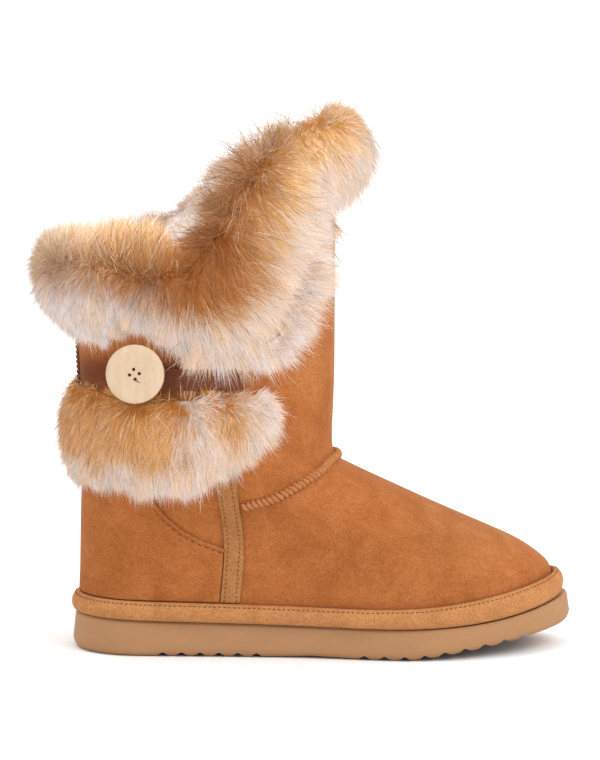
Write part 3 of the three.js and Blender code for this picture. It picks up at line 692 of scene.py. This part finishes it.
def open_skin(body):
    """The body's triangles that don't lie against the wall: corners, normals at them, and areas. By the
    hem the normals lean out from the wall."""
    mesh = body.data
    mesh.calc_loop_triangles()
    corners = np.empty(len(mesh.loop_triangles) * 3, dtype=int)
    mesh.loop_triangles.foreach_get("vertices", corners)
    points = points_of(mesh)
    _, wall_ways, gaps = wall_by(points)
    thin = 1 - step_between(NEAR_WALL["gap"] / 3, NEAR_WALL["gap"], gaps)
    leaning = NEAR_WALL["lean"] * thin[:, None]
    triangles = points[corners].reshape(-1, 3, 3)
    normals = unit(normals_of(mesh) + leaning * wall_ways)[corners].reshape(-1, 3, 3)
    across = np.cross(triangles[:, 1] - triangles[:, 0], triangles[:, 2] - triangles[:, 0])
    area = np.linalg.norm(across, axis=1) / 2
    _, wall_ways, gaps = wall_by(triangles.mean(axis=1))
    facing = (wall_ways * unit(across)).sum(axis=1)
    is_open = (gaps > NEAR_WALL["gap"]) | (facing > NEAR_WALL["against"])
    return triangles[is_open], normals[is_open], area[is_open]


def scattered(skin, count, rng):
    """Roots spread over the skin by area, the normal at each, turned away from the wall, and the depth
    of fur that lies under it."""
    triangles, normals, area = skin
    pick = rng.choice(len(area), size=count, p=area / area.sum())
    u, v = rng.random(count), rng.random(count)
    flip = u + v > 1
    u[flip], v[flip] = 1 - u[flip], 1 - v[flip]
    weight = np.stack([1 - u - v, u, v], axis=1)[:, :, None]
    roots = (triangles[pick] * weight).sum(axis=1)
    ways, gaps = off_the_wall(roots, unit((normals[pick] * weight).sum(axis=1)))
    return roots, ways, FUR_DEPTH * gaps


def let_light_through(piece):
    """Light passes through fine fur: it casts no shadow and isn't seen by diffuse light."""
    piece.visible_shadow = False
    piece.visible_diffuse = False


# How unevenly the blades face, and how unevenly they take the light.
BLADES = {"facing": 0.45, "light": 0.2}


def hair_piece(name, hairs, normals, width, tints, rng):
    """One mesh of narrow blades of two triangles, tinted at root, middle and tip."""
    count = len(hairs)
    run = unit(hairs[:, 2] - hairs[:, 0])
    facing = normals + BLADES["facing"] * rng.normal(size=normals.shape)
    across = unit(np.cross(run, facing)) * width[:, None] / 2
    blades = np.stack([hairs[:, 0], hairs[:, 1] - across, hairs[:, 1] + across, hairs[:, 2]], axis=1)
    pattern = np.array([[0, 2, 1], [1, 2, 3]])
    faces = (np.arange(count)[:, None, None] * 4 + pattern[None]).reshape(-1, 3)
    mesh = bpy.data.meshes.new(name)
    mesh.from_pydata(blades.reshape(-1, 3), [], faces)
    colour_points(mesh, "tint", tints[:, [0, 1, 1, 2]].reshape(-1, 3))
    mesh.polygons.foreach_set("use_smooth", np.ones(len(faces), dtype=bool))
    uneven = unit(normals + BLADES["light"] * rng.normal(size=normals.shape))
    soft, _ = off_the_wall(hairs[:, 1], uneven)
    mesh.normals_split_custom_set_from_vertices(np.repeat(soft, 4, axis=0))
    piece = bpy.data.objects.new(name, mesh)
    let_light_through(piece)
    bpy.context.collection.objects.link(piece)
    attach(piece, "root")
    hair.paint(piece)


hair = Finish("soft fur hair", roughness=0.65, specular=0.15)
hair.sheen(0.15, 0.4, (1.0, 0.92, 0.85))
hair_tint = hair.attribute("tint")
hair.colour(hair_tint)
# A hair takes its light from the side that its normal points to, whichever of its faces is seen.
hair_back = hair.nodes.new("ShaderNodeBsdfTranslucent")
hair_side = hair.nodes.new("ShaderNodeNewGeometry")
hair_faces = hair.nodes.new("ShaderNodeMixShader")
hair.links.new(hair_tint, hair_back.inputs["Color"])
hair.links.new(hair_side.outputs["Backfacing"], hair_faces.inputs[0])
hair.links.new(hair.shader.outputs["BSDF"], hair_faces.inputs[1])
hair.links.new(hair_back.outputs["BSDF"], hair_faces.inputs[2])
hair.links.new(hair_faces.outputs["Shader"], hair.nodes["Material Output"].inputs["Surface"])

underfur = Finish("dense underfur", roughness=0.95, specular=0.05)
underfur_wisps = underfur.noise(1.4 * MM, detail=4, stretch=(1, 1, 3))
underfur_shade = underfur.shades(underfur_wisps, (0.3, (0.7, 0.64, 0.58)), (0.7, (1, 1, 1)))
underfur.colour(underfur.mixed("MULTIPLY", 1.0, underfur.attribute("tint"), underfur_shade))
underfur.bump((underfur_wisps, 1.5 * MM, 0.8))

# Root, middle and tip of tan and of cream hair, and the pale tip that frosts some of the tan. The roots
# are darker, partly the fur's own colour and partly painted shade, since the hair casts no shadow.
TAN = np.array([(0.33, 0.125, 0.033), (0.66, 0.325, 0.097), (0.84, 0.50, 0.20)])
CREAM = np.array([(0.38, 0.26, 0.19), (0.57, 0.45, 0.395), (0.78, 0.665, 0.615)])
FROST = np.array((0.97, 0.88, 0.79))
SMOOTHING_ROUNDS = 14


def fur_body(node, name, dye_and_shade_of):
    """The dense underfur: the CAD body with its locks smoothed, between the hair's root and middle in
    colour, and multiplied by the same shade as the hair, which holds the collar's painted light and shade."""
    body = start_from(node, name)
    bm = bmesh.new()
    bm.from_mesh(body.data)
    smoothing = {"factor": 0.5, "use_axis_x": True, "use_axis_y": True, "use_axis_z": True}
    bmesh.ops.smooth_vert(bm, verts=bm.verts, **smoothing)
    bmesh.ops.subdivide_edges(bm, edges=bm.edges, cuts=1, use_grid_fill=True)
    for _ in range(SMOOTHING_ROUNDS):
        bmesh.ops.smooth_vert(bm, verts=bm.verts, **smoothing)
    bm.to_mesh(body.data)
    bm.free()
    underfur.paint(body)
    tan, shade = dye_and_shade_of(points_of(body.data))
    tint = np.outer(tan, TAN[:2].mean(axis=0)) + np.outer(1 - tan, CREAM[:2].mean(axis=0))
    colour_points(body.data, "tint", tint * shade)
    return body


# Past this far outside the solids' widest places, the hair on the two sides is pressed flat.
PROUD = {"from": 7 * MM, "kept": 0.2}
# What all coats share. Pairs are ranges. Over shallow fur the hair lies flatter.
HAIR = {"length": (0.6, 1.1), "width": (0.7, 1.3), "pull": (0.4, 1.4), "shade": (0.5, 1.3),
        "lock_shade": (0.62, 1.2), "warm_locks": 0.42, "warmth": 0.9, "frost_middle": 0.5,
        "dye_and_shade_stray": 2.5 * MM, "shallow": (2 * MM, 7 * MM), "flat": 0.25, "fall": 0.9, "most_sunk": 0.25}


def grow_fur(name, body, lie_of, dye_and_shade_of, coat, seed):
    """Covers a body with one coat of hair, in several pieces that share a set of small locks."""
    rng = np.random.default_rng(seed)
    skin = open_skin(body)

    def combed(roots, normals, depth):
        """Root, middle and tip of each hair: it rises from the skin and bends into its lie."""
        count = len(roots)
        flow, stand, share = lie_of(roots, normals, rng)
        deep = step_between(*HAIR["shallow"], depth)[:, None]
        stand = stand * (HAIR["flat"] + (1 - HAIR["flat"]) * deep)
        length = (coat["length"] * share * rng.uniform(*HAIR["length"], count))[:, None]
        rise = unit(stand * normals + (1 - stand) * flow + coat["mess"] * rng.normal(size=(count, 3)))
        fall = HAIR["fall"] * flow + [0, 0, -coat["droop"]]
        bent = unit(rise + fall + coat["mess"] * rng.normal(size=(count, 3)))
        can_sink = np.minimum(coat["sunk"], depth)[:, None]
        sunk = roots - normals * np.minimum(can_sink, HAIR["most_sunk"] * length)
        middle = sunk + length / 2 * rise
        return np.stack([sunk, middle, middle + length / 2 * bent], axis=1)

    guides = combed(*scattered(skin, coat["locks"], rng))
    lock_shade = rng.uniform(*HAIR["lock_shade"], coat["locks"])
    lock_warm = rng.random(coat["locks"]) < HAIR["warm_locks"]
    lock_of = finder(guides[:, 0])
    for part in range(coat["pieces"]):
        count = coat["hairs"]
        roots, normals, depth = scattered(skin, count, rng)
        hairs = combed(roots, normals, depth)
        lock = lock_of(hairs[:, 0])
        pull = np.outer(coat["pull"] * rng.uniform(*HAIR["pull"], count), [0, 0.5, 1])[:, :, None]
        hairs += pull * (guides[lock] - hairs)
        proud = np.clip(hairs[:, :, 1], cad_box[0][1] - PROUD["from"], cad_box[1][1] + PROUD["from"])
        hairs[:, :, 1] = proud + PROUD["kept"] * (hairs[:, :, 1] - proud)
        tan, shade = dye_and_shade_of(roots + HAIR["dye_and_shade_stray"] * rng.normal(size=(count, 3)))
        tan = tan[:, None, None]
        tints = TAN[None] * tan + CREAM[None] * (1 - tan)
        frosted = (rng.random(count) < coat["frosted"])[:, None] * tan[:, 0]
        tints[:, 1] += HAIR["frost_middle"] * frosted * (FROST - tints[:, 1])
        tints[:, 2] += frosted * (FROST - tints[:, 2])
        warm = (lock_warm[lock] * rng.random(count))[:, None] * (1 - tan[:, 0])
        tints += (HAIR["warmth"] * warm)[:, None] * (TAN[None] - tints)
        own_shade = (lock_shade[lock] + rng.uniform(*HAIR["shade"], count)) / 2
        tints = np.clip(tints * (shade * own_shade[:, None])[:, None], 0, 0.98)
        width = coat["width"] * rng.uniform(*HAIR["width"], count)
        hair_piece(f"{name}_{part + 1}", hairs, normals, width, tints, rng)


collar_parting = Parting(rim, pitch=2.5 * MM)
# The parting's height over the edge, along the boot.
FOLD = np.array([(-35, -5), (0, -4), (30, -3), (45, 0), (60, 4), (90, 9), (115, 10)]) * MM
# The height above the floor where the tan ends, along the boot.
TAN_EDGE = np.array([(-46, 203), (-11, 201), (3, 199), (20, 196), (35, 189), (53, 188), (64, 197),
                     (70, 217), (76, 232), (87, 246), (95, 258), (107, 269), (124, 281)]) * MM
# How far the tan's edges wander, in waves of a size and a seed, and how soft they are below and above
# the parting. Towards the back the tan is thinner.
TAN_SOFT = {"wander": 4 * MM, "waves": (16 * MM, 9), "below": (-2.5 * MM, 2.5 * MM),
            "above": (-3 * MM, 4 * MM)}
TAN_THIN = {"along": (-30 * MM, 10 * MM), "thinner": 0.3}
# How far round the roll the tan reaches above the parting, on the outer and on the inner side.
ROLL = 16 * MM
TAN_ABOVE = np.array([(-20, 30), (20, -8)]) * MM
# Along the boot: how dark the painted shade of the crease is at the parting, and the length of the hair
# above and below it.
FOLD_HAIR = np.array([(-35, 0.3, 0.5, 0.9), (-22, 0.6, 0.9, 0.85), (-8, 0.9, 1.45, 0.8),
                      (5, 1.1, 1.75, 0.75), (18, 1.2, 1.65, 0.85), (30, 1.25, 0.9, 1.15),
                      (45, 1.25, 1.15, 1.4), (60, 0.9, 1.6, 1.6), (67, 0.8, 1.7, 1.35),
                      (75, 0.7, 1.8, 0.95), (90, 0.5, 1.75, 0.5), (98, 0.3, 1.45, 0.4),
                      (106, 0.3, 0.9, 0.35), (112, 0.2, 0.7, 0.4)])
# Above the parting, the hair is shorter on the inner side.
INNER_LENGTH = 0.75
# At the front the hair hangs longer, from this place along the boot on and between these heights.
FRONT = {"along": (98 * MM, 108 * MM), "low": (239 * MM, 252 * MM), "high": (268 * MM, 284 * MM),
         "longer": 0.9, "less_above": 0.7}
COLLAR_SWAY = [(0.4, 26 * MM, 5), (0.3, 9 * MM, 6)]
COLLAR_STAND = {"above": 0.56, "below": 0.40}
# By the parting, the hair strays over the line, stands up more and flows less.
PARTED = {"stray": 2.5 * MM, "waves": (22 * MM, 7), "half_width": 8 * MM, "stand": 0.2, "flow": 0.45}
# The painted shade of the crease below the parting: a broad shade and a narrower one, and its depth in
# each colour.
CREASE = {"below": 2 * MM, "wander": 2 * MM, "waves": (12 * MM, 8), "half_width": 12 * MM, "broad": 0.6,
          "narrow": 0.45, "narrower": 3, "darkest": 1.15, "depth": (0.50, 0.66, 0.76)}
# Painted shade on the tan hair under the fold, in the dip of the edge: its middle along the boot and up,
# and its half-sizes.
DIP_SHADE = {"middle": (47 * MM, 203 * MM), "half": (26 * MM, 20 * MM), "depth": 0.9}
# Whorls, where the hair turns out from a dark middle: place along the boot, height and size.
WHORLS = np.array([(54, 224, 10), (66, 249, 11), (73, 262, 9)]) * MM
WHORL = {"pull": 3, "dark": 0.45}
# Tan hair is painted darker in waves, as painted shade between its tufts.
TUFTS = {"darker": 0.16, "waves": (11 * MM, 10)}
# How much paler, in each colour, the hair is painted inside the inner side's fold and at the back, as
# painted light, and between which places it turns paler. Over the parting, tan hair is painted brighter,
# as painted light from above.
FAR_SIDE = {"across": (0, 15 * MM), "out": (5 * MM, 15 * MM), "paler": (0.6, 0.85, 1.1)}
AT_BACK = {"along": (-25 * MM, 25 * MM), "paler": (0.12, 0.2, 0.3)}
LIT_ABOVE = (1 * MM, 17 * MM)


def collar_section(places):
    """A place's nearest point of the fold, its distances out from it and up from the parting, and what
    the fold's hair is like there."""
    nearest = collar_parting.nearest(places)
    away = places - collar_parting.points[nearest]
    at = collar_parting.points[nearest][:, 0]
    out = (away * collar_parting.out[nearest]).sum(axis=1)
    up = (away * collar_parting.up[nearest]).sum(axis=1) - np.interp(at, *FOLD.T)
    crease, above, below = [np.interp(at, FOLD_HAIR[:, 0] * MM, FOLD_HAIR[:, k]) for k in (1, 2, 3)]
    return nearest, out, up, crease, above, below


def by_whorls(places):
    """The ways out from the whorls next to each place, and how close it lies to the middle of one."""
    ways, middle = np.zeros((len(places), 3)), np.zeros(len(places))
    for x, z, size in WHORLS:
        away = (places - [x, 0, z]) * [1, 0, 1]
        far = np.linalg.norm(away, axis=1) / size
        ways += away / size * np.exp(-far ** 2)[:, None]
        middle += np.exp(-(2 * far) ** 2)
    return ways, middle


def collar_lie(roots, normals, rng):
    """How each hair flows along the skin, how far it stands up from it, and its share of the length."""
    nearest, out, up, _, above, below = collar_section(roots)
    strayed = up + PARTED["stray"] * (rng.normal(size=len(roots)) + waves(roots, *PARTED["waves"]))
    rising = np.where(out > 0, strayed, up) > 0
    turn = np.arctan2(np.maximum(up, 0), out)
    round_out = np.where(rising, -np.sin(turn), 0.0)[:, None] * collar_parting.out[nearest]
    round_up = np.where(rising, np.cos(turn), -1.0)[:, None] * collar_parting.up[nearest]
    sway = sway_of(roots, COLLAR_SWAY)[:, None] * collar_parting.run[nearest]
    flow = along_skin(round_out + round_up + sway + WHORL["pull"] * by_whorls(roots)[0], normals)
    close = 1 - step_between(0, PARTED["half_width"], np.abs(up))
    by_parting = np.where(out > 0, close, 0.0)[:, None]
    stand = np.where(up > 0, COLLAR_STAND["above"], COLLAR_STAND["below"])[:, None]
    x, y, z = roots.T
    hanging = step_between(*FRONT["low"], z) * (1 - FRONT["less_above"] * step_between(*FRONT["high"], z))
    below = below + FRONT["longer"] * hanging * step_between(*FRONT["along"], x)
    length = np.where(rising, np.where(y < 0, above, INNER_LENGTH * above), below)
    return flow * (1 - PARTED["flow"] * by_parting), stand + PARTED["stand"] * by_parting, length


def collar_dye_and_painted_light(places):
    """How tan the hair is, and how bright with painted light and shade: painted shade darkens the crease
    along the parting and the dip under the fold, and painted light brightens the far side, back and top.
    """
    _, out, up, crease, _, _ = collar_section(places)
    x, y, z = places.T
    edge = np.interp(x, *TAN_EDGE.T) + TAN_SOFT["wander"] * waves(places, *TAN_SOFT["waves"])
    below = step_between(*TAN_SOFT["below"], z - edge)
    past_reach = np.arctan2(up, out) * ROLL - np.interp(y, *TAN_ABOVE.T)
    above = 1 - step_between(*TAN_SOFT["above"], past_reach)
    tan = np.where(up > 0, above * below, np.where(out < 0, 0.0, below))
    tan *= 1 - TAN_THIN["thinner"] * (1 - step_between(*TAN_THIN["along"], x))
    # Painted shade of the crease along the parting.
    from_crease = up + CREASE["below"] + CREASE["wander"] * waves(places, *CREASE["waves"])
    from_crease /= CREASE["half_width"]
    shaded = CREASE["broad"] * np.exp(-from_crease ** 2)
    shaded += CREASE["narrow"] * np.exp(-(CREASE["narrower"] * from_crease) ** 2)
    # Painted shade on the tan hair in the dip under the fold.
    in_dip_shade = np.exp(-(((places[:, [0, 2]] - DIP_SHADE["middle"]) / DIP_SHADE["half"]) ** 2).sum(axis=1))
    dark = np.where(out > 0, crease * shaded + DIP_SHADE["depth"] * in_dip_shade * tan, 0.0)
    dark = np.minimum(dark + WHORL["dark"] * by_whorls(places)[1], CREASE["darkest"])
    # Painted shade between the tufts of tan hair.
    tufts = 1 - TUFTS["darker"] * tan * np.maximum(waves(places, *TUFTS["waves"]), 0)
    # Painted light: the hair is paler on the far side and at the back, and tan hair brighter over the
    # parting.
    inside = step_between(*FAR_SIDE["across"], y) * (1 - step_between(*FAR_SIDE["out"], out))
    far_side = np.outer(inside, FAR_SIDE["paler"])
    at_back = np.outer(1 - step_between(*AT_BACK["along"], x), AT_BACK["paler"])
    top_light = 1 + tan * step_between(*LIT_ABOVE, up)
    paler = (1 + far_side + at_back) * (tufts * top_light)[:, None]
    return tan, (1 - np.outer(dark, CREASE["depth"])) * paler


collar_body = fur_body("fur_collar", "fur_collar_body", collar_dye_and_painted_light)

# The strip thins towards its hem on the outer face, so that the last hair lies on the leather.
HEM = {"from": 0.5, "thinner": 0.45, "smoothing": 25}
body_points = points_of(collar_body.data)
fold_point, out, up, _, _, _ = collar_section(body_points)
hem_drop = np.zeros(len(collar_parting.points))
np.maximum.at(hem_drop, fold_point, -up)
run = HEM["smoothing"]
wrapped = np.concatenate([hem_drop[-run:], hem_drop, hem_drop[:run]])
hem_drop = np.convolve(wrapped, np.ones(run) / run, "same")[run:-run]
thinner = HEM["thinner"] * step_between(HEM["from"], 1, -up / hem_drop[fold_point]) * (out > 0)
on_wall, _, _ = wall_by(body_points)
body_points += thinner[:, None] * (on_wall - body_points)
collar_body.data.vertices.foreach_set("co", body_points.ravel())
collar_body.data.update()
let_light_through(collar_body)
COLLAR_COAT = {"pieces": 4, "hairs": 67000, "locks": 3600, "length": 18 * MM, "width": 0.22 * MM,
               "sunk": 4 * MM, "droop": 0.2, "pull": 0.5, "mess": 0.22, "frosted": 0.14}
COLLAR_GUARD = {"pieces": 1, "hairs": 28000, "locks": 6000, "length": 22 * MM, "width": 0.32 * MM,
                "sunk": 4 * MM, "droop": 0.1, "pull": 0.1, "mess": 0.3, "frosted": 0.5}
grow_fur("fur_collar_hair", collar_body, collar_lie, collar_dye_and_painted_light, COLLAR_COAT, seed=11)
grow_fur("fur_collar_guard_hair", collar_body, collar_lie, collar_dye_and_painted_light, COLLAR_GUARD, seed=12)


# Fur band
# A second strip of the same fur round the back, sewn along its top edge under the strap. Its tan
# lies round the button and under it, and in two tufts towards the front end.

# The top edge's height above the floor, along the boot. The hair by it is ruffled: it turns up, stands
# more and is shorter, most of all at the back.
BAND_TOP = np.array([(-30, 145), (-12, 144), (0, 140), (75, 140)]) * MM
RUFFLE = {"depth": (-2 * MM, 9 * MM), "stray": 3 * MM, "turn": 1.5, "stand": 0.2, "shorter": (0.6, 0.3)}
BAND_STAND = 0.40
BAND_SWAY = [(0.35, 26 * MM, 15), (0.3, 9 * MM, 16)]
# Towards the front end the hair turns forward, and at the back it is shorter.
FORWARD = {"along": (20 * MM, 75 * MM), "way": (0.75, 0, 0)}
BAND_BACK = {"along": (-20 * MM, 5 * MM), "length": 0.75}
# The tan lies above a height and behind a place along the boot. It also lies in tufts: the place along
# the boot and the height of the middle, and half of the length and height.
BAND_TAN = {"from": 110 * MM, "front": 33 * MM, "wander": 4 * MM, "waves": (14 * MM, 19),
            "soft": (-2 * MM, 3 * MM)}
TAN_TUFTS = [(46.5, 133, 4.5, 8), (56, 129, 5, 10)]
TUFT_SOFT = (0.7, 1.3)
BAND_DEEPER = (0.26, 0.40, 0.52)


def band_lie(roots, normals, rng):
    """How each hair flows along the skin, how far it stands up from it, and its share of the length."""
    around = unit(np.cross([0.0, 0.0, 1.0], normals))
    forward = step_between(*FORWARD["along"], roots[:, [0]]) * FORWARD["way"]
    from_top = np.interp(roots[:, 0], *BAND_TOP.T) - roots[:, 2]
    from_top += RUFFLE["stray"] * rng.normal(size=len(roots))
    ruffled = 1 - step_between(*RUFFLE["depth"], from_top)
    down = [0, 0, -1.0] * (1 - RUFFLE["turn"] * ruffled[:, None])
    flow = along_skin(sway_of(roots, BAND_SWAY)[:, None] * around + forward + down, normals)
    farther_on = step_between(*BAND_BACK["along"], roots[:, 0])
    length = 1 - np.interp(farther_on, (0, 1), RUFFLE["shorter"]) * ruffled
    length *= np.interp(farther_on, (0, 1), (BAND_BACK["length"], 1))
    return flow, BAND_STAND + RUFFLE["stand"] * ruffled[:, None], length


def band_dye(places):
    """How tan the hair is, and how bright: the band's tan is deeper than the collar's."""
    wander = BAND_TAN["wander"] * waves(places, *BAND_TAN["waves"])
    lower = step_between(*BAND_TAN["soft"], places[:, 2] - BAND_TAN["from"] + wander)
    tan = lower * (1 - step_between(*BAND_TAN["soft"], places[:, 0] - BAND_TAN["front"] + wander))
    for x, z, half_x, half_z in TAN_TUFTS:
        away = np.hypot((places[:, 0] - x * MM) / half_x, (places[:, 2] - z * MM) / half_z) / MM
        tan = np.maximum(tan, 1 - step_between(*TUFT_SOFT, away))
    return tan, 1 - np.outer(tan, BAND_DEEPER)


band_body = fur_body("fur_band", "fur_band_body", band_dye)
BAND_COAT = COLLAR_COAT | {"pieces": 2, "hairs": 46000, "locks": 2000, "length": 19 * MM, "sunk": 3 * MM}
BAND_GUARD = COLLAR_GUARD | {"hairs": 6500, "locks": 2000, "length": 23 * MM, "sunk": 3 * MM}
grow_fur("fur_band_hair", band_body, band_lie, band_dye, BAND_COAT, seed=23)
grow_fur("fur_band_guard_hair", band_body, band_lie, band_dye, BAND_GUARD, seed=24)


# Studio
# A plain white floor, soft light that falls mostly from above with a broad lamp from the toe's side,
# and a camera a little above the level of the boot, square to its outer side.

bpy.ops.mesh.primitive_plane_add(size=60)
floor = bpy.context.object
floor.name = "floor"
paper = Finish("white floor", roughness=0.9, specular=0.0)
paper.plain((0.93, 0.93, 0.93))
paper.paint(floor)

scene = bpy.context.scene
scene.view_settings.view_transform = "Standard"
scene.world = bpy.data.worlds.new("studio")
scene.world.use_nodes = True
SKY = {"horizon": 1.0, "top": 1.5}
sky = scene.world.node_tree
sky_light = sky.nodes["Background"]
sky_way = sky.nodes.new("ShaderNodeTexCoord")
sky_height = sky.nodes.new("ShaderNodeSeparateXYZ")
sky_glow = sky.nodes.new("ShaderNodeMapRange")
sky_glow.inputs["To Min"].default_value = SKY["horizon"]
sky_glow.inputs["To Max"].default_value = SKY["top"]
sky_light.inputs["Color"].default_value = (1, 1, 1, 1)
sky.links.new(sky_way.outputs["Generated"], sky_height.inputs["Vector"])
sky.links.new(sky_height.outputs["Z"], sky_glow.inputs["Value"])
sky.links.new(sky_glow.outputs["Result"], sky_light.inputs["Strength"])


def softbox(name, place, target, size, power):
    lamp = bpy.data.lights.new(name, "AREA")
    lamp.shape = "DISK"
    lamp.size = size
    lamp.energy = power
    holder = bpy.data.objects.new(name, lamp)
    holder.location = place
    holder.rotation_euler = (Vector(target) - Vector(place)).to_track_quat("-Z", "Y").to_euler()
    bpy.context.collection.objects.link(holder)


softbox("key", place=(1.2, -1.0, 1.3), target=(0.08, 0, 0.12), size=1.2, power=13)

PHOTO_WIDTH = 319.8 * MM
VIEW = {"target": (91.8 * MM, 0, 142.7 * MM), "distance": 1.6, "elevation": 6.5}
camera = bpy.data.objects.new("camera", bpy.data.cameras.new("camera"))
camera.data.sensor_fit = "HORIZONTAL"
camera.data.lens = camera.data.sensor_width * VIEW["distance"] / PHOTO_WIDTH
tilt = math.radians(VIEW["elevation"])
target = Vector(VIEW["target"])
camera.location = target + VIEW["distance"] * Vector((0, -math.cos(tilt), math.sin(tilt)))
camera.rotation_euler = (math.pi / 2 - tilt, 0, 0)
bpy.context.collection.objects.link(camera)
scene.camera = camera
